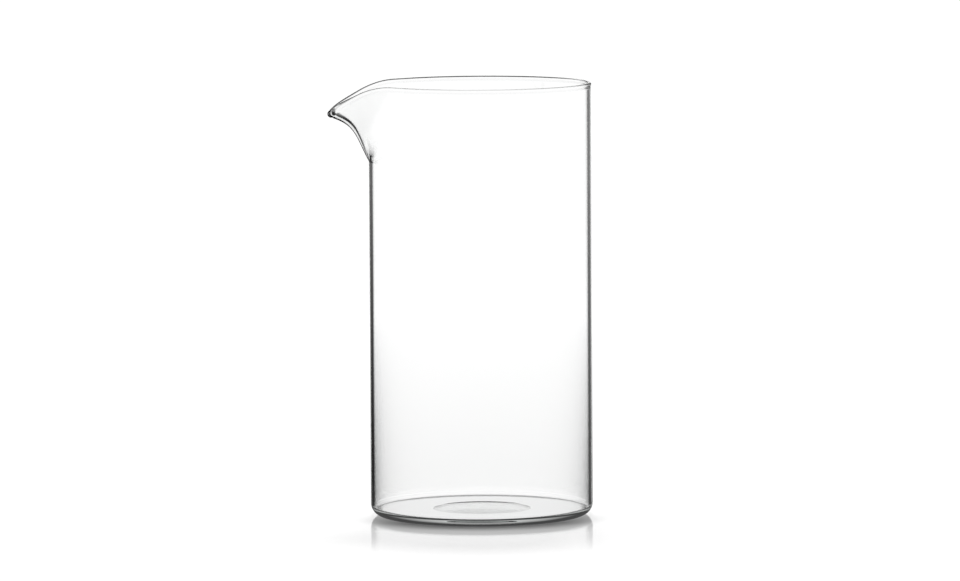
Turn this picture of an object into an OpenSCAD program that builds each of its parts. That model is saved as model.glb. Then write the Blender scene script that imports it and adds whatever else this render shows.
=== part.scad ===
// Cocktail pitcher: a clear cylinder jug with a pulled pouring spout, worked from one piece of thin glass.
// Millimetres, +Z up. The origin is on the body's axis, at the table. The spout points along -X.
// The glass is split where it is worked: the base, the straight wall, the rim and the spout.

/* [Body] */
// Outer diameter of the body
body_d = 90; // [80:1:110]
// Height of the rim above the table
body_h = 175.5; // [150:0.5:240]
// Thickness of the side wall
wall_t = 1.5; // [1.2:0.1:2.5]

/* [Base] */
// Thickness of the floor
floor_t = 3; // [2:0.1:6]
// Outside radius where the base turns up into the wall
heel_r = 5; // [2:0.5:8]
// Inside radius where the floor turns up into the wall
floor_corner_r = 1.5; // [1:0.5:6]
// Diameter of the shallow dome in the middle of the base
punt_d = 40; // [20:1:60]
// Height of that dome
punt_h = 0.9; // [0.4:0.1:2]

/* [Rim] */
// How far the fire-polished bead stands proud of the wall on each side
rim_bulge = 0.15; // [0.05:0.05:0.4]

/* [Spout] */
// How far the lip reaches out from the body
spout_reach = 16.6; // [10:0.2:24]
// Depth of the spout's foot below the rim
spout_depth = 31.5; // [30:0.5:60]
// Downward slope of the lip's two edges, in degrees
lip_slope = 29.1; // [15:0.1:38]
// How far inside the body's outer face the edges start to slope
lip_bend_in = 3.2; // [0:0.1:5]
// Length of the bend from the level rim into the sloping edges
lip_bend_l = 13.5; // [6:0.5:18]
// Extra droop of the tip below the line of the edges
tip_droop = 1.3; // [0:0.1:4]
// Power with which that droop gathers at the tip
droop_power = 8; // [3:1:10]
// Radius of the tip seen from above, in the middle of the glass
tip_r = 8; // [3:0.1:9]
// Radius of the spout's front at its foot
foot_r = 5; // [4:0.5:20]
// Angle at which the spout leaves the wall at its foot, in degrees
foot_angle = 23; // [5:1:30]
// Length over which the spout holds that angle
foot_run = 14; // [4:0.5:16]
// Length over which the lip runs straight out to the tip
lip_run = 10.5; // [4:0.5:14]
// Upward slope of the lip at its tip, in degrees
lip_rise = 19; // [2:0.5:25]
// Extra half thickness of the glass at the tip
tip_gain = 0.7; // [0:0.05:0.8]
// Power with which that thickness grows from the foot up to the tip
gain_power = 0.5; // [0.5:0.5:6]
// Angle between the spout's widest spread and its seams with the wall, in degrees
seam_margin = 2; // [1.5:0.5:4]

/* [Hidden] */
$fn = 180;
// Steps across the spout, rows up its sheet and steps round its lip
columns = 36;
rows = 16;
lip_steps = 9;
// Columns stand closer together near the tip
crowding = 1.8;
// Step for slopes
step = 0.005;
glass = [0.85, 0.92, 0.91, 0.5];

out_r = body_d / 2;
in_r = out_r - wall_t;
mid_r = out_r - wall_t / 2;
base_h = max(heel_r, floor_t + floor_corner_r);
// The dome is part of a large sphere
punt_r = (pow(punt_d / 2, 2) + pow(punt_h, 2)) / (2 * punt_h);

bead_r = wall_t / 2 + rim_bulge;
bead_z = body_h - bead_r;
wall_top = bead_z - sqrt(pow(bead_r, 2) - pow(wall_t / 2, 2));

foot_z = body_h - spout_depth;
bend_x = out_r - lip_bend_in;
tip_x = out_r + spout_reach - bead_r - tip_gain;
tip_reach = tip_x - mid_r;
tip_z = bead_z - lip_fall(tip_x);
spout_half = leave_angle(tip_reach, tip_r) + seam_margin;

// Half angle over which a teardrop outline leaves the body's circle
function leave_angle(reach, tip) = acos((mid_r - tip) / (mid_r + reach - tip));

// Distance from the axis to a teardrop outline, at an angle from the spout's direction
function teardrop(angle, reach, tip) =
    let (tip_c = mid_r + reach - tip)
    let (leave = leave_angle(reach, tip))
    let (tip_end = atan2(tip * sin(leave), tip_c + tip * cos(leave)))
    let (a = abs(angle))
    a >= leave ? mid_r
    : a >= tip_end ? mid_r / cos(leave - a)
    : tip_c * cos(a) + sqrt(pow(tip, 2) - pow(tip_c * sin(a), 2));

// A slope that starts level and bends in over a length
function bend(d, l) = d <= -l / 2 ? 0 : d >= l / 2 ? d : pow(d + l / 2, 2) / (2 * l);

// How far the lip's edge has fallen at a distance from the axis along the spout
function lip_fall(x) =
    let (u = max(0, min(1, (x - bend_x) / (tip_x - bend_x))))
    tan(lip_slope) * bend(x - bend_x, lip_bend_l) + tip_droop * pow(u, droop_power);

// Curve down the middle of the spout, as reach and height: out of the wall at the foot, along the lip at the tip
function centre_line(v) =
    let (foot = [0, foot_z])
    let (foot_end = foot + foot_run * [sin(foot_angle), cos(foot_angle)])
    let (tip = [tip_reach, tip_z])
    let (tip_end = tip - lip_run * [cos(lip_rise), sin(lip_rise)])
    pow(1 - v, 3) * foot + 3 * pow(1 - v, 2) * v * foot_end + 3 * (1 - v) * pow(v, 2) * tip_end + pow(v, 3) * tip;

// How much a column belongs to the middle of the spout, from 1 in the middle to 0 at the seams
function middle(s) = (1 + cos(180 * s)) / 2;

// Middle of the glass: s runs across the spout from -1 to 1, v up it from 0 to 1
function sheet(s, v) =
    let (angle = spout_half * sign(s) * pow(abs(s), crowding))
    let (c = centre_line(v))
    let (r = teardrop(angle, c[0], foot_r + (tip_r - foot_r) * v))
    let (edge_z = bead_z - lip_fall(teardrop(angle, tip_reach, tip_r) * cos(angle)))
    let (rise = middle(s) * (c[1] - foot_z) / (tip_z - foot_z) + (1 - middle(s)) * v)
    [-r * cos(angle), -r * sin(angle), foot_z + rise * (edge_z - foot_z)];

function unit(p) = p / norm(p);
function across(s, v) = unit(sheet(s + step, v) - sheet(s - step, v));
function slant(s, v) = unit(cross(across(s, v), sheet(s, v + step) - sheet(s, v - step)));
// At its foot the glass meets the wall square
function outward(s, v) =
    let (p = sheet(s, v))
    v <= 0 ? unit([p[0], p[1], 0]) : slant(s, v);
function gain(s, v) = middle(s) * tip_gain * pow(v, gain_power);
function half_t(s, v) = wall_t / 2 + gain(s, v);

// One column of the spout: up the outside, round the lip and down the inside
function column(s) =
    let (tip = sheet(s, 1))
    let (n = outward(s, 1))
    let (t = cross(n, across(s, 1)))
    let (r = bead_r + gain(s, 1))
    let (start = -acos(half_t(s, 1) / r))
    [
        for (i = [0 : rows - 1]) sheet(s, i / rows) + half_t(s, i / rows) * outward(s, i / rows),
        for (k = [0 : lip_steps])
            let (a = start + (180 - 2 * start) * k / lip_steps)
            tip + r * (cos(a) * n + sin(a) * t),
        for (i = [rows - 1 : -1 : 0]) sheet(s, i / rows) - half_t(s, i / rows) * outward(s, i / rows)
    ];

// A square-ended bar's outline with its lower outer corner rounded, for turning round the axis
module rounded_foot(r, h, corner) {
    intersection() {
        union() {
            square([r - corner, h]);
            translate([0, corner])
                square([r, h]);
            translate([r - corner, corner])
                circle(corner);
        }
        square([r, h]);
    }
}

// Flat floor with a rounded heel and a shallow dome pushed up in the middle
module base() {
    color(glass)
        rotate_extrude()
            difference() {
                rounded_foot(out_r, base_h, heel_r);
                difference() {
                    translate([0, floor_t])
                        rounded_foot(in_r, body_h, floor_corner_r);
                    translate([0, floor_t + punt_h - punt_r])
                        circle(punt_r);
                }
                translate([0, punt_h - punt_r])
                    circle(punt_r);
            }
}

// Straight wall, open where the spout is drawn out of it
module wall() {
    color(glass)
        difference() {
            rotate_extrude()
                translate([in_r, base_h])
                    square([wall_t, wall_top - base_h]);
            rotate([0, 0, 180 - spout_half])
                rotate_extrude(angle = 2 * spout_half)
                    translate([in_r - wall_t, foot_z])
                        square([3 * wall_t, spout_depth]);
        }
}

// Fire-polished bead on the wall's top edge, from one side of the spout round to the other
module rim() {
    color(glass)
        rotate([0, 0, 180 + spout_half])
            rotate_extrude(angle = 360 - 2 * spout_half)
                intersection() {
                    translate([mid_r, bead_z])
                        circle(bead_r);
                    translate([mid_r - bead_r, wall_top])
                        square([2 * bead_r, 2 * bead_r]);
                }
}

// Pouring spout: a sheet as thick as the wall, drawn out to a drooping tip, with the bead along its lip
module spout() {
    loops = [for (j = [0 : columns]) column(2 * j / columns - 1)];
    n = len(loops[0]);
    sides = [
        for (j = [0 : columns - 1])
            for (k = [0 : n - 1])
                let (a = j * n + k)
                let (b = j * n + (k + 1) % n)
                each [[a, b, b + n], [a, b + n, a + n]]
    ];
    first = [
        for (k = [0 : n / 2 - 2])
            each [[k, n - 1 - k, n - 2 - k], [k, n - 2 - k, k + 1]]
    ];
    last = [for (f = first) [f[0], f[2], f[1]] + columns * n * [1, 1, 1]];
    color(glass)
        polyhedron([for (l = loops) each l], concat(sides, first, last));
}

base();
wall();
rim();
spout();
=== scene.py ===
import math

import bmesh
import bpy
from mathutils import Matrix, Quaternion, Vector


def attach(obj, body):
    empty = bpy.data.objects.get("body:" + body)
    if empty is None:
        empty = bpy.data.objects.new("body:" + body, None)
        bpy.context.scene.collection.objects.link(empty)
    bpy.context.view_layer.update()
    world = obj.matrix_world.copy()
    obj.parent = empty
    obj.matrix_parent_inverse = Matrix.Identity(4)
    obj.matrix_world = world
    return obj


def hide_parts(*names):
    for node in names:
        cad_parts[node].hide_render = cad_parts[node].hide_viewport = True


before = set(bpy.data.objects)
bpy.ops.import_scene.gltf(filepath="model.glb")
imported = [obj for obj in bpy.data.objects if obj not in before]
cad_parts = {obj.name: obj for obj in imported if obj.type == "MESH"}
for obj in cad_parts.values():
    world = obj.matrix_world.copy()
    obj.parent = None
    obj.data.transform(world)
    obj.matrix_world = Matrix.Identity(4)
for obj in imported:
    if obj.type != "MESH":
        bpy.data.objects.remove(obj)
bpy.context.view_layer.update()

MM = 0.001

# Sizes of the jug, in millimetres, as its solids have them
BODY_D = 90.0
BODY_H = 175.5
WALL_T = 1.5
FLOOR_T = 3.0
HEEL_R = 5.0
FLOOR_CORNER_R = 1.5
PUNT_D = 40.0
PUNT_H = 0.9
RIM_BULGE = 0.15
SPOUT_REACH = 16.6
SPOUT_DEPTH = 31.5
LIP_SLOPE = math.radians(29.1)
LIP_BEND_IN = 3.2
LIP_BEND_L = 13.5
TIP_DROOP = 1.3
DROOP_POWER = 8
TIP_R = 8.0
FOOT_R = 5.0
FOOT_ANGLE = math.radians(23.0)
FOOT_RUN = 14.0
LIP_RUN = 10.5
LIP_RISE = math.radians(19.0)
TIP_GAIN = 0.7
GAIN_POWER = 0.5
SEAM_MARGIN = math.radians(2.0)

# Worked out from them
OUT_R = BODY_D / 2
IN_R = OUT_R - WALL_T
MID_R = OUT_R - WALL_T / 2
PUNT_R = ((PUNT_D / 2) ** 2 + PUNT_H ** 2) / (2 * PUNT_H)
PUNT_ANGLE = math.asin(PUNT_D / 2 / PUNT_R)
BEAD_R = WALL_T / 2 + RIM_BULGE
BEAD_Z = BODY_H - BEAD_R
BEAD_START = math.acos(WALL_T / 2 / BEAD_R)
WALL_TOP = BEAD_Z - BEAD_R * math.sin(BEAD_START)
FOOT_Z = BODY_H - SPOUT_DEPTH
BEND_X = OUT_R - LIP_BEND_IN
TIP_X = OUT_R + SPOUT_REACH - BEAD_R - TIP_GAIN
TIP_REACH = TIP_X - MID_R

# How finely the glass is meshed
TURNS = 288
WALL_ROWS = 12
FOOT_ROW = 0.1
SPOUT_ROWS = 30
BEAD_STEPS = 12
CORNER_STEPS = 10
DOME_STEPS = 12
RING_ROWS = 6
# Columns gather towards the tip of the spout by this power, once above this share of its height
CROWDING = 1.8
GATHERED_AT = 0.4
# Step for slopes, and the distance within which two points are one
STEP = 0.005
MERGE = 0.001


def smooth(t):
    t = max(0.0, min(1.0, t))
    return t * t * (3 - 2 * t)


# The spout


def leave_angle(reach, tip):
    """Half angle over which a teardrop outline leaves the body's circle."""
    return math.acos((MID_R - tip) / (MID_R + reach - tip))


def teardrop(angle, reach, tip):
    """Distance from the axis to a teardrop outline, at an angle from the spout's direction."""
    reach = max(reach, 0.0)
    tip_c = MID_R + reach - tip
    leave = leave_angle(reach, tip)
    tip_end = math.atan2(tip * math.sin(leave), tip_c + tip * math.cos(leave))
    a = abs(angle)
    if a >= leave:
        return MID_R
    if a >= tip_end:
        return MID_R / math.cos(leave - a)
    return tip_c * math.cos(a) + math.sqrt(tip ** 2 - (tip_c * math.sin(a)) ** 2)


def bend(d, length):
    """A slope that starts level and bends in over a length."""
    if d <= -length / 2:
        return 0.0
    if d >= length / 2:
        return d
    return (d + length / 2) ** 2 / (2 * length)


def lip_fall(x):
    """How far the lip's edge has fallen at a distance from the axis along the spout."""
    u = max(0.0, min(1.0, (x - BEND_X) / (TIP_X - BEND_X)))
    return math.tan(LIP_SLOPE) * bend(x - BEND_X, LIP_BEND_L) + TIP_DROOP * u ** DROOP_POWER


TIP_Z = BEAD_Z - lip_fall(TIP_X)
SPOUT_HALF = leave_angle(TIP_REACH, TIP_R) + SEAM_MARGIN


def centre_line(v):
    """Curve down the middle of the spout, as reach and height."""
    foot = Vector((0, FOOT_Z))
    foot_end = foot + FOOT_RUN * Vector((math.sin(FOOT_ANGLE), math.cos(FOOT_ANGLE)))
    tip = Vector((TIP_REACH, TIP_Z))
    tip_end = tip - LIP_RUN * Vector((math.cos(LIP_RISE), math.sin(LIP_RISE)))
    w = 1 - v
    return w ** 3 * foot + 3 * w * w * v * foot_end + 3 * w * v * v * tip_end + v ** 3 * tip


def middle(s):
    """1 in the middle of the spout, 0 where it runs out into the wall."""
    return (1 + math.cos(math.pi * s)) / 2


def sheet(s, v):
    """Middle of the glass: s runs across the spout from -1 to 1, v up it from 0 to 1."""
    angle = SPOUT_HALF * math.copysign(abs(s) ** CROWDING, s)
    c = centre_line(v)
    r = teardrop(angle, c.x, FOOT_R + (TIP_R - FOOT_R) * v)
    edge_z = BEAD_Z - lip_fall(teardrop(angle, TIP_REACH, TIP_R) * math.cos(angle))
    rise = middle(s) * (c.y - FOOT_Z) / (TIP_Z - FOOT_Z) + (1 - middle(s)) * v
    return Vector((-r * math.cos(angle), -r * math.sin(angle), FOOT_Z + rise * (edge_z - FOOT_Z)))


def across(s, v):
    return (sheet(s + STEP, v) - sheet(s - STEP, v)).normalized()


def outward(s, v):
    return across(s, v).cross(sheet(s, v + STEP) - sheet(s, v - STEP)).normalized()


def drawn_out(p):
    """Where a point of the straight wall goes when the spout is pulled out of it."""
    angle = math.atan2(-p.y, -p.x)
    share = abs(angle) / SPOUT_HALF
    if p.z <= FOOT_Z or share >= 1:
        return p
    v = min(1.0, (p.z - FOOT_Z) / (BEAD_Z - FOOT_Z))
    power = 1 / CROWDING + (1 - 1 / CROWDING) * smooth(v / GATHERED_AT)
    s = math.copysign(share ** power, angle)
    depth = math.hypot(p.x, p.y) - MID_R
    if p.z < WALL_TOP - STEP:
        gain = middle(s) * TIP_GAIN * v ** GAIN_POWER
        return sheet(s, v) + depth * (1 + gain / (WALL_T / 2)) * outward(s, v)
    n = outward(s, 1)
    grown = 1 + middle(s) * TIP_GAIN / BEAD_R
    return sheet(s, 1) + grown * (depth * n + (p.z - BEAD_Z) * n.cross(across(s, 1)))


# The glass


def line_to(bm, v, r, z, steps=1):
    """Draws the half section on in a straight line, in steps."""
    start = v.co.copy()
    for i in range(steps):
        v = bmesh.ops.extrude_vert_indiv(bm, verts=[v])["verts"][0]
        v.co = start.lerp(Vector((r, 0, z)), (i + 1) / steps)
    return v


def arc_on(bm, v, r, z, angle, steps):
    """Draws the half section on round a centre; a positive angle turns anticlockwise."""
    turned = bmesh.ops.spin(bm, geom=[v], cent=(r, 0, z), axis=(0, -1, 0), angle=angle, steps=steps)
    return [e for e in turned["geom_last"] if isinstance(e, bmesh.types.BMVert)][0]


def blown_glass():
    """The whole jug as one closed skin: a half section, turned round the axis and pulled out at the spout."""
    bm = bmesh.new()
    v = bm.verts.new((0, 0, PUNT_H))
    v = arc_on(bm, v, 0, PUNT_H - PUNT_R, -PUNT_ANGLE, DOME_STEPS)
    v = line_to(bm, v, OUT_R - HEEL_R, 0, RING_ROWS)
    v = arc_on(bm, v, OUT_R - HEEL_R, HEEL_R, math.pi / 2, CORNER_STEPS)
    v = line_to(bm, v, OUT_R, FOOT_Z - FOOT_ROW, WALL_ROWS)
    v = line_to(bm, v, OUT_R, FOOT_Z)
    v = line_to(bm, v, OUT_R, FOOT_Z + FOOT_ROW)
    v = line_to(bm, v, OUT_R, WALL_TOP, SPOUT_ROWS)
    v = arc_on(bm, v, MID_R, BEAD_Z, math.pi + 2 * BEAD_START, BEAD_STEPS)
    v = line_to(bm, v, IN_R, FOOT_Z + FOOT_ROW, SPOUT_ROWS)
    v = line_to(bm, v, IN_R, FOOT_Z)
    v = line_to(bm, v, IN_R, FOOT_Z - FOOT_ROW)
    v = line_to(bm, v, IN_R, FLOOR_T + FLOOR_CORNER_R, WALL_ROWS)
    v = arc_on(bm, v, IN_R - FLOOR_CORNER_R, FLOOR_T + FLOOR_CORNER_R, -math.pi / 2, CORNER_STEPS)
    v = line_to(bm, v, PUNT_D / 2, FLOOR_T, RING_ROWS)
    arc_on(bm, v, 0, FLOOR_T + PUNT_H - PUNT_R, PUNT_ANGLE, DOME_STEPS)
    section = bm.verts[:] + bm.edges[:]
    bmesh.ops.spin(
        bm, geom=section, cent=(0, 0, 0), axis=(0, 0, 1), angle=2 * math.pi, steps=TURNS, use_merge=True)
    bmesh.ops.remove_doubles(bm, verts=bm.verts[:], dist=MERGE)
    for v in bm.verts:
        v.co = drawn_out(v.co)
    bmesh.ops.recalc_face_normals(bm, faces=bm.faces[:])
    bmesh.ops.scale(bm, vec=(MM, MM, MM), verts=bm.verts[:])
    for f in bm.faces:
        f.smooth = True
    mesh = bpy.data.meshes.new("pitcher_glass")
    bm.to_mesh(mesh)
    bm.free()
    glass = bpy.data.objects.new("pitcher_glass", mesh)
    bpy.context.scene.collection.objects.link(glass)
    return glass


# Materials


def linear(hex_colour):
    """sRGB hex to linear RGBA."""
    parts = [int(hex_colour[i:i + 2], 16) / 255 for i in (1, 3, 5)]
    return [c / 12.92 if c <= 0.04045 else ((c + 0.055) / 1.055) ** 2.4 for c in parts] + [1.0]


def add(tree, kind, inputs=None, **settings):
    """Adds a node with its settings; an input is a value, or a socket or node to link."""
    node = tree.nodes.new(kind)
    for name, value in settings.items():
        setattr(node, name, value)
    for name, value in (inputs or {}).items():
        if isinstance(value, bpy.types.Node):
            value = value.outputs[0]
        if isinstance(value, bpy.types.NodeSocket):
            tree.links.new(value, node.inputs[name])
        else:
            node.inputs[name].default_value = value
    return node


def new_material(name):
    material = bpy.data.materials.new(name)
    material.use_nodes = True
    material.node_tree.nodes.clear()
    return material, material.node_tree


def slopes(*degrees):
    """Angles as slopes."""
    return [math.tan(math.radians(d)) for d in degrees]


WHITE = linear("#FFFFFF")

# The glass: long waves left by drawing the tube and patches of film left by hands, in millimetres
GLASS_IOR = 1.473
TINT_DENSITY = 6.0
WAVE_APART = 9.0
WAVE_HEIGHT = 0.02
WAVE_STRETCH = 0.08
WAVE_STRENGTH = 0.2
WAVE_DETAIL = 1.0
FILM_ACROSS = 25.0
FILM_DETAIL = 3.0
FILM_ROUGHNESS = 0.012


def borosilicate():
    """Flame-worked borosilicate tube: clear and colourless, a trace of grey-green where it is thick."""
    material, tree = new_material("borosilicate_glass")
    where = add(tree, "ShaderNodeTexCoord").outputs["Object"]
    # Drawing the tube leaves long shallow waves down it
    drawn = add(tree, "ShaderNodeMapping", {"Vector": where, "Scale": (1, 1, WAVE_STRETCH)})
    waves = add(tree, "ShaderNodeTexNoise", {
        "Vector": drawn, "Scale": 1 / (WAVE_APART * MM), "Detail": WAVE_DETAIL})
    bump = add(tree, "ShaderNodeBump", {
        "Height": waves, "Strength": WAVE_STRENGTH, "Distance": WAVE_HEIGHT * MM})
    # Handling leaves a faint film in patches
    film = add(tree, "ShaderNodeTexNoise", {
        "Vector": where, "Scale": 1 / (FILM_ACROSS * MM), "Detail": FILM_DETAIL})
    rough = add(tree, "ShaderNodeMapRange", {"Value": film, "To Min": 0.0, "To Max": FILM_ROUGHNESS})
    surface = add(tree, "ShaderNodeBsdfPrincipled", {
        "Base Color": WHITE, "Roughness": rough, "IOR": GLASS_IOR,
        "Transmission Weight": 1.0, "Normal": bump})
    depth = add(tree, "ShaderNodeVolumeAbsorption", {"Color": linear("#B9D3CA"), "Density": TINT_DENSITY})
    add(tree, "ShaderNodeOutputMaterial", {"Surface": surface, "Volume": depth})
    return material


# Light is told apart by how many faces of glass it has gone through: a wall has two.
# Half a count tells whole numbers apart
NO_GLASS = 0.0
ONE_WALL = 2.0
TWO_WALLS = 4.0
HALF = 0.5
# Tone of what stays dark, as a share of white: the table's painted shade and the room's dark ceiling
SHADE = 0.05

# The white table: its own light, its polish, and over which distances from the axis its reflections fade
TABLE_GLOW = 0.73
TABLE_ROUGHNESS = 0.05
TABLE_IOR = 1.5
MIRROR_FADES = (0.05, 0.13)
# Painted shade under the heel, cut out of the table's glow: how deep it is, where it fades from the axis, and
# how it comes in towards the front
HEEL_SHADE = 0.8
HEEL_SHADE_FADES = (0.042, 0.059)
HEEL_SHADE_FRONT = (0.0, -0.03)
# How level light meets the table, from 0 straight down to 1 along it
EVEN_BLEND = 0.5
STEEP = (0.54, 0.41)
LOW = (0.70, 0.55)
LEVEL = (0.45, 0.60)
SHALLOW = (0.72, 0.85)
BELOW = (0.36, 0.22)
DOWN = (0.12, 0.05)
TOUCH = (0.74, 0.86)
ABOVE = (0.42, 0.34)
# How far aside light goes past the jug, from a middle that lies a little to the right of straight behind
MIDDLE_TURN = slopes(2)[0]
# Edges of the painted white backdrop and the painted dark cards, which are tones of the table's glow
PAINTED_BACKDROP_ENDS = slopes(10, 14)
PAINTED_CARDS_END = slopes(30, 40)
PAST_PAINTED_CARDS = slopes(27, 33)
REAR_ENDS = slopes(25, 40)
NEVER_ZERO = 0.001
# Distances from the axis at which light lands, and the painted tones it meets there
AWAY = (0.08, 0.12)
RING_MIDDLE = 0.0465
RING_HALF = 0.0045
DARK_GROWS = (0.3, 1.8)
DARK_TONES = (0.015, 0.14)
RIGHT_GROWS = (-0.1, 0.1)
RIGHT_TONE = 0.07
PALE_GROWS = (0.08, 0.85)
PALE_TONES = (0.1, 1.0)
TOUCH_TONES = (0.05, 0.55)
ABOVE_TONE = 0.85
# Share of the steep shade that light keeps after a second wall
SECOND_WALL = 0.35


def studio_table():
    """Glossy white table: white to the eye and through glass; to light that the glass turned aside it gives
    off painted tones, mostly dark.
    """
    material, tree = new_material("white_table")
    path = add(tree, "ShaderNodeLightPath").outputs
    crossed = path["Transmission Depth"]
    never = add(tree, "ShaderNodeMath", {0: crossed, 1: NO_GLASS, 2: HALF}, operation="COMPARE")
    once = add(tree, "ShaderNodeMath", {0: crossed, 1: ONE_WALL, 2: HALF}, operation="COMPARE")
    straight = add(tree, "ShaderNodeMath", {0: path["Glossy Depth"], 1: HALF}, operation="LESS_THAN")
    turned = add(tree, "ShaderNodeMath", {0: path["Glossy Depth"], 1: HALF}, operation="GREATER_THAN")

    # Where light lands: how far from the axis, how level it comes in and how far aside it goes past the jug
    where = add(tree, "ShaderNodeNewGeometry").outputs["Position"]
    part = add(tree, "ShaderNodeSeparateXYZ", {0: where}).outputs
    apart = add(tree, "ShaderNodeVectorMath", {0: where}, operation="LENGTH").outputs["Value"]
    facing = add(tree, "ShaderNodeLayerWeight", {"Blend": EVEN_BLEND}).outputs["Facing"]
    beyond = add(tree, "ShaderNodeMath", {0: part["Y"], 1: 0.0}, operation="GREATER_THAN")
    before = add(tree, "ShaderNodeMath", {0: part["Y"], 1: 0.0}, operation="LESS_THAN")
    askew = add(tree, "ShaderNodeMath", {
        0: part["Y"], 1: -MIDDLE_TURN, 2: part["X"]}, operation="MULTIPLY_ADD")
    aside = add(tree, "ShaderNodeMath", {0: askew}, operation="ABSOLUTE")
    aside = add(tree, "ShaderNodeMath", {0: aside, 1: OUT_R * MM}, operation="SUBTRACT")
    behind = add(tree, "ShaderNodeMath", {0: part["Y"], 1: NEVER_ZERO}, operation="MAXIMUM")
    slope = add(tree, "ShaderNodeMath", {0: aside, 1: behind}, operation="DIVIDE")

    # White, with painted shade under the heel on the side away from the lamp: the glow is cut there by
    # distance from the axis
    seen = add(tree, "ShaderNodeMath", {
        0: path["Is Camera Ray"], 1: path["Is Transmission Ray"]}, operation="MAXIMUM")
    seen = add(tree, "ShaderNodeMath", {0: seen, 1: path["Is Glossy Ray"]}, operation="MAXIMUM")
    painted_heel_shade = add(tree, "ShaderNodeMapRange", {
        "Value": apart, "From Min": HEEL_SHADE_FADES[0], "From Max": HEEL_SHADE_FADES[1],
        "To Min": HEEL_SHADE, "To Max": 0.0}, interpolation_type="SMOOTHSTEP")
    front = add(tree, "ShaderNodeMapRange", {
        "Value": part["Y"], "From Min": HEEL_SHADE_FRONT[0], "From Max": HEEL_SHADE_FRONT[1]})
    painted_heel_shade = add(tree, "ShaderNodeMath", {0: painted_heel_shade, 1: front}, operation="MULTIPLY")
    lift = add(tree, "ShaderNodeMath", {0: 1.0, 1: painted_heel_shade}, operation="SUBTRACT")
    lift = add(tree, "ShaderNodeMath", {0: lift, 1: TABLE_GLOW}, operation="MULTIPLY")
    lift = add(tree, "ShaderNodeMath", {0: lift, 1: seen}, operation="MULTIPLY")
    matte = add(tree, "ShaderNodeBsdfDiffuse", {"Color": linear("#E7E7E7")})
    glow = add(tree, "ShaderNodeEmission", {"Color": WHITE, "Strength": lift})
    white = add(tree, "ShaderNodeAddShader", {0: matte, 1: glow})

    # The reflection is clear near the jug and fades away from it
    gloss = add(tree, "ShaderNodeBsdfGlossy", {"Color": WHITE, "Roughness": TABLE_ROUGHNESS})
    near = add(tree, "ShaderNodeMapRange", {
        "Value": apart, "From Min": MIRROR_FADES[0], "From Max": MIRROR_FADES[1],
        "To Min": 1.0, "To Max": 0.0})
    sheen = add(tree, "ShaderNodeFresnel", {"IOR": TABLE_IOR})
    sheen = add(tree, "ShaderNodeMath", {0: sheen, 1: near}, operation="MULTIPLY")
    shiny = add(tree, "ShaderNodeMixShader", {0: sheen, 1: white, 2: gloss})

    # Light that a rim or lip bends steeply down meets painted shade close round the jug: the table glows dark
    # for it
    steep = add(tree, "ShaderNodeMapRange", {"Value": facing, "From Min": STEEP[0], "From Max": STEEP[1]})
    thin = add(tree, "ShaderNodeMapRange", {
        "Value": crossed, "From Min": ONE_WALL, "From Max": TWO_WALLS,
        "To Min": 1.0, "To Max": SECOND_WALL})
    bent = add(tree, "ShaderNodeMath", {0: steep, 1: thin}, operation="MULTIPLY")
    low = add(tree, "ShaderNodeMapRange", {"Value": facing, "From Min": LOW[0], "From Max": LOW[1]})
    rear = add(tree, "ShaderNodeMapRange", {
        "Value": slope, "From Min": REAR_ENDS[0], "From Max": REAR_ENDS[1], "To Min": 1.0, "To Max": 0.0})
    low = add(tree, "ShaderNodeMath", {0: low, 1: once}, operation="MULTIPLY")
    low = add(tree, "ShaderNodeMath", {0: low, 1: rear}, operation="MULTIPLY")
    low = add(tree, "ShaderNodeMath", {0: low, 1: beyond}, operation="MULTIPLY")
    bent = add(tree, "ShaderNodeMath", {0: bent, 1: low}, operation="MAXIMUM")
    bent = add(tree, "ShaderNodeMath", {0: bent, 1: path["Is Transmission Ray"]}, operation="MULTIPLY")
    # Looked at from above, the table under the jug is white but for the ring it stands on, where the painted
    # shade stays
    away = add(tree, "ShaderNodeMapRange", {"Value": apart, "From Min": AWAY[0], "From Max": AWAY[1]})
    ring = add(tree, "ShaderNodeMath", {0: apart, 1: RING_MIDDLE, 2: RING_HALF}, operation="COMPARE")
    keeps = add(tree, "ShaderNodeMath", {0: away, 1: ring}, operation="MAXIMUM")
    bent = add(tree, "ShaderNodeMath", {0: bent, 1: keeps}, operation="MULTIPLY")
    shade = add(tree, "ShaderNodeEmission", {"Color": WHITE, "Strength": SHADE})
    shiny = add(tree, "ShaderNodeMixShader", {0: bent, 1: shiny, 2: shade})

    # Light turned aside by the glass meets painted shade in place of two dark cards, one each side of a
    # painted white backdrop; the table gives off both tones
    painted_backdrop = add(tree, "ShaderNodeMapRange", {
        "Value": slope, "From Min": PAINTED_BACKDROP_ENDS[0], "From Max": PAINTED_BACKDROP_ENDS[1],
        "To Min": 1.0, "To Max": 0.0})
    level = add(tree, "ShaderNodeMapRange", {"Value": facing, "From Min": LEVEL[0], "From Max": LEVEL[1]})
    painted_backdrop = add(tree, "ShaderNodeMath", {0: painted_backdrop, 1: beyond}, operation="MULTIPLY")
    painted_backdrop = add(tree, "ShaderNodeMath", {0: painted_backdrop, 1: level}, operation="MULTIPLY")
    painted_cards = add(tree, "ShaderNodeMapRange", {
        "Value": slope, "From Min": PAINTED_CARDS_END[0], "From Max": PAINTED_CARDS_END[1], "To Min": 1.0, "To Max": 0.0})
    painted_cards = add(tree, "ShaderNodeMath", {0: painted_cards, 1: beyond}, operation="MULTIPLY")
    painted_cards = add(tree, "ShaderNodeMath", {0: painted_cards, 1: painted_backdrop}, operation="SUBTRACT")
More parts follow.
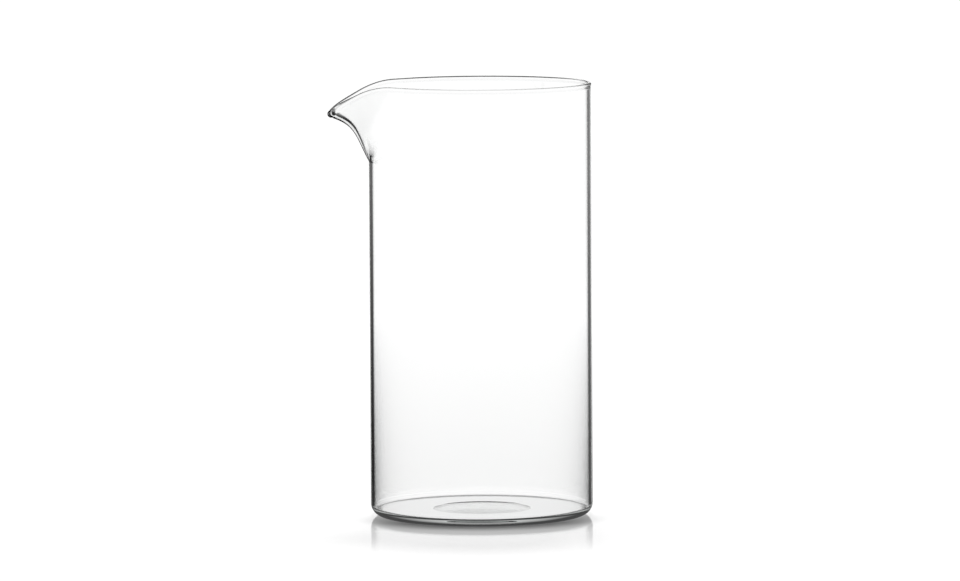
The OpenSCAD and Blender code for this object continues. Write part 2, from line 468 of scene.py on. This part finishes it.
    # Past the painted cards and in front of the jug the painted room is light again, and so is the table
    # right below
    past = add(tree, "ShaderNodeMapRange", {
        "Value": slope, "From Min": PAST_PAINTED_CARDS[0], "From Max": PAST_PAINTED_CARDS[1]})
    past = add(tree, "ShaderNodeMath", {0: past, 1: before}, operation="MAXIMUM")
    shallow = add(tree, "ShaderNodeMapRange", {
        "Value": facing, "From Min": SHALLOW[0], "From Max": SHALLOW[1]})
    past = add(tree, "ShaderNodeMath", {0: past, 1: shallow}, operation="MULTIPLY")
    below = add(tree, "ShaderNodeMapRange", {"Value": facing, "From Min": BELOW[0], "From Max": BELOW[1]})
    light = add(tree, "ShaderNodeMath", {0: past, 1: below}, operation="MAXIMUM")
    # The painted cards' tone, a little lighter on the right, and the painted tone of the light table, which
    # is darker near the jug and white where light comes straight down
    dark = add(tree, "ShaderNodeMapRange", {
        "Value": apart, "From Min": DARK_GROWS[0], "From Max": DARK_GROWS[1],
        "To Min": DARK_TONES[0], "To Max": DARK_TONES[1]})
    right = add(tree, "ShaderNodeMapRange", {
        "Value": part["X"], "From Min": RIGHT_GROWS[0], "From Max": RIGHT_GROWS[1],
        "To Min": 0.0, "To Max": RIGHT_TONE})
    dark = add(tree, "ShaderNodeMath", {0: dark, 1: right}, operation="ADD")
    pale = add(tree, "ShaderNodeMapRange", {
        "Value": apart, "From Min": PALE_GROWS[0], "From Max": PALE_GROWS[1],
        "To Min": PALE_TONES[0], "To Max": PALE_TONES[1]})
    down = add(tree, "ShaderNodeMapRange", {"Value": facing, "From Min": DOWN[0], "From Max": DOWN[1]})
    pale = add(tree, "ShaderNodeMath", {0: pale, 1: down}, operation="MAXIMUM")
    # Reflections inside a wall, reflections off the outside, and all that goes through more glass meet these
    # painted tones; under the jug it is painted shade
    inside = add(tree, "ShaderNodeMix", {"Factor": light, "A": dark, "B": pale})
    inside = add(tree, "ShaderNodeMix", {"Factor": painted_backdrop, "A": inside, "B": 1.0})
    under = add(tree, "ShaderNodeMath", {0: apart, 1: OUT_R * MM}, operation="LESS_THAN")
    under = add(tree, "ShaderNodeMath", {0: under, 1: down}, operation="SUBTRACT", use_clamp=True)
    inside = add(tree, "ShaderNodeMix", {"Factor": under, "A": inside, "B": SHADE})
    outside = add(tree, "ShaderNodeMix", {"Factor": painted_cards, "A": pale, "B": dark})
    tone = add(tree, "ShaderNodeMix", {"Factor": never, "A": pale, "B": outside})
    tone = add(tree, "ShaderNodeMix", {"Factor": once, "A": tone, "B": inside})
    # The table glows with these painted tones for light that the glass has turned
    room = add(tree, "ShaderNodeEmission", {"Color": WHITE, "Strength": tone})
    table = add(tree, "ShaderNodeMixShader", {0: turned, 1: shiny, 2: room})

    # Where the standing ring touches it, the table shows in the glass itself as painted tones, dark to pale
    # by how level the light comes
    odd = add(tree, "ShaderNodeMath", {0: crossed, 1: ONE_WALL}, operation="MODULO")
    odd = add(tree, "ShaderNodeMath", {0: odd, 1: HALF}, operation="GREATER_THAN")
    touch = add(tree, "ShaderNodeMapRange", {
        "Value": facing, "From Min": TOUCH[0], "From Max": TOUCH[1],
        "To Min": TOUCH_TONES[0], "To Max": TOUCH_TONES[1]})
    above = add(tree, "ShaderNodeMapRange", {
        "Value": facing, "From Min": ABOVE[0], "From Max": ABOVE[1], "To Min": 0.0, "To Max": ABOVE_TONE})
    above = add(tree, "ShaderNodeMath", {0: above, 1: straight}, operation="MULTIPLY")
    touch = add(tree, "ShaderNodeMath", {0: touch, 1: above}, operation="MAXIMUM")
    contact = add(tree, "ShaderNodeEmission", {"Color": WHITE, "Strength": touch})
    table = add(tree, "ShaderNodeMixShader", {0: odd, 1: table, 2: contact})
    add(tree, "ShaderNodeOutputMaterial", {"Surface": table})
    material.cycles.emission_sampling = "NONE"
    return material


# The stage

TABLE_R = 30.0
TABLE_SIDES = 96
# The standing ring sits in the table's surface by this much, so that the two touch
TABLE_TOUCH = 0.00002


def stage_table():
    bm = bmesh.new()
    bmesh.ops.create_circle(bm, cap_ends=True, segments=TABLE_SIDES, radius=TABLE_R)
    bmesh.ops.translate(bm, vec=(0, 0, TABLE_TOUCH), verts=bm.verts[:])
    mesh = bpy.data.meshes.new("table")
    bm.to_mesh(mesh)
    bm.free()
    table = bpy.data.objects.new("table", mesh)
    bpy.context.scene.collection.objects.link(table)
    table.data.materials.append(studio_table())


# The room's light on the table, as a share of white
ROOM_SOFT = 0.08
# How far up light is bent before it meets the dark ceiling, for one face of glass or two
CEILING_HEIGHT = (0.38, 0.55)
FEW_FACES = 1.5
FEW_FACES_HALF = 1.0
# How far aside the glass turns light before it meets the dark: in the reflection on the table,
# at the rim's ends, and where light glances off the far lip
MIRRORED_FROM = slopes(11)[0]
RIM_ENDS = slopes(12, 25)
GLANCE = slopes(4, 9)
GLANCE_ENDS = slopes(42)[0]
TWO_BOUNCES = 2.0


def light_room():
    """Even white room: a little of it lights the table. It is dark where the glass turns light aside."""
    world = bpy.data.worlds.new("studio")
    world.use_nodes = True
    bpy.context.scene.world = world
    tree = world.node_tree
    tree.nodes.clear()
    path = add(tree, "ShaderNodeLightPath").outputs
    towards = add(tree, "ShaderNodeTexCoord").outputs["Generated"]
    part = add(tree, "ShaderNodeSeparateXYZ", {0: towards}).outputs
    crossed = path["Transmission Depth"]
    never = add(tree, "ShaderNodeMath", {0: crossed, 1: HALF}, operation="LESS_THAN")
    passed = add(tree, "ShaderNodeMath", {0: crossed, 1: ONE_WALL, 2: HALF}, operation="COMPARE")
    straight = add(tree, "ShaderNodeMath", {0: path["Glossy Depth"], 1: HALF}, operation="LESS_THAN")
    shone = add(tree, "ShaderNodeMath", {0: path["Glossy Depth"], 1: HALF}, operation="GREATER_THAN")
    twice = add(tree, "ShaderNodeMath", {
        0: path["Glossy Depth"], 1: TWO_BOUNCES, 2: HALF}, operation="COMPARE")
    behind = add(tree, "ShaderNodeMath", {0: part["Y"], 1: NEVER_ZERO}, operation="MAXIMUM")
    aside = add(tree, "ShaderNodeMath", {0: part["X"]}, operation="ABSOLUTE")
    aside = add(tree, "ShaderNodeMath", {0: aside, 1: behind}, operation="DIVIDE")

    # The table gets little light from all round
    sky = add(tree, "ShaderNodeBackground", {"Color": WHITE, "Strength": 1.0})
    soft = add(tree, "ShaderNodeBackground", {"Color": WHITE, "Strength": ROOM_SOFT})
    matte = add(tree, "ShaderNodeMath", {0: path["Diffuse Depth"], 1: HALF}, operation="GREATER_THAN")
    sky = add(tree, "ShaderNodeMixShader", {0: matte, 1: sky, 2: soft})

    # Light that the glass bends steeply up meets the dark ceiling
    steep = add(tree, "ShaderNodeMapRange", {
        "Value": part["Z"], "From Min": CEILING_HEIGHT[0], "From Max": CEILING_HEIGHT[1]})
    few = add(tree, "ShaderNodeMath", {0: crossed, 1: FEW_FACES, 2: FEW_FACES_HALF}, operation="COMPARE")
    few = add(tree, "ShaderNodeMath", {0: path["Is Transmission Ray"], 1: few}, operation="MULTIPLY")
    bent = add(tree, "ShaderNodeMath", {0: steep, 1: few}, operation="MULTIPLY")
    # So does light that the glass turns aside in the jug's reflection on the table
    wide = add(tree, "ShaderNodeMath", {0: aside, 1: MIRRORED_FROM}, operation="GREATER_THAN")
    mirrored = add(tree, "ShaderNodeMath", {0: twice, 1: passed}, operation="MULTIPLY")
    mirrored = add(tree, "ShaderNodeMath", {0: mirrored, 1: wide}, operation="MULTIPLY")
    bent = add(tree, "ShaderNodeMath", {0: bent, 1: mirrored}, operation="MAXIMUM")
    # And light that the rim's ends bend sideways
    ends = add(tree, "ShaderNodeMapRange", {"Value": aside, "From Min": RIM_ENDS[0], "From Max": RIM_ENDS[1]})
    ends = add(tree, "ShaderNodeMath", {0: ends, 1: passed}, operation="MULTIPLY")
    ends = add(tree, "ShaderNodeMath", {0: ends, 1: straight}, operation="MULTIPLY")
    bent = add(tree, "ShaderNodeMath", {0: bent, 1: ends}, operation="MAXIMUM")
    # And light that glances off the far lip
    glance = add(tree, "ShaderNodeMapRange", {"Value": aside, "From Min": GLANCE[0], "From Max": GLANCE[1]})
    inner = add(tree, "ShaderNodeMath", {0: aside, 1: GLANCE_ENDS}, operation="LESS_THAN")
    glance = add(tree, "ShaderNodeMath", {0: glance, 1: inner}, operation="MULTIPLY")
    glance = add(tree, "ShaderNodeMath", {0: glance, 1: never}, operation="MULTIPLY")
    glance = add(tree, "ShaderNodeMath", {0: glance, 1: shone}, operation="MULTIPLY")
    bent = add(tree, "ShaderNodeMath", {0: bent, 1: glance}, operation="MAXIMUM")
    # The table's own light stays as it is
    first = add(tree, "ShaderNodeMath", {0: path["Diffuse Depth"], 1: HALF}, operation="LESS_THAN")
    bent = add(tree, "ShaderNodeMath", {0: bent, 1: first}, operation="MULTIPLY")
    ceiling = add(tree, "ShaderNodeBackground", {"Color": WHITE, "Strength": SHADE})
    room = add(tree, "ShaderNodeMixShader", {0: bent, 1: sky, 2: ceiling})
    add(tree, "ShaderNodeOutputWorld", {"Surface": room})


LAMP_ENERGY = 1.0
LAMP_UP = math.radians(66)
LAMP_WIDE = math.radians(12)


def hang_lamp():
    """A soft light high up behind the jug, which throws its shadow forward on the table."""
    data = bpy.data.lights.new("lamp", "SUN")
    data.energy = LAMP_ENERGY
    data.angle = LAMP_WIDE
    lamp = bpy.data.objects.new("lamp", data)
    lamp.rotation_euler = (LAMP_UP - math.pi / 2, 0, 0)
    lamp.visible_glossy = False
    lamp.visible_transmission = False
    bpy.context.scene.collection.objects.link(lamp)


# The camera: a long lens, a little above the rim
CAMERA_BACK = 3.0
CAMERA_UP = 0.3703
LOOKS_AT_UP = 0.0912
LENS = 279.14
SENSOR = 36.0
ROLL = math.radians(-0.313)
SHIFT_X = -0.00078
SEES_TO = 100.0


def place_camera():
    data = bpy.data.cameras.new("camera")
    data.lens = LENS
    data.sensor_width = SENSOR
    data.clip_end = SEES_TO
    camera = bpy.data.objects.new("camera", data)
    bpy.context.scene.collection.objects.link(camera)
    camera.location = (0, -CAMERA_BACK, CAMERA_UP)
    look = Vector((0, 0, LOOKS_AT_UP)) - camera.location
    camera.rotation_mode = "QUATERNION"
    camera.rotation_quaternion = look.to_track_quat("-Z", "Y") @ Quaternion((0, 0, 1), ROLL)
    data.shift_x = SHIFT_X
    bpy.context.scene.camera = camera


place_camera()
light_room()
hang_lamp()
stage_table()

glass = blown_glass()
glass.data.materials.append(borosilicate())
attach(glass, "root")
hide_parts("base", "wall", "rim", "spout")

bpy.context.scene.view_settings.view_transform = "Standard"
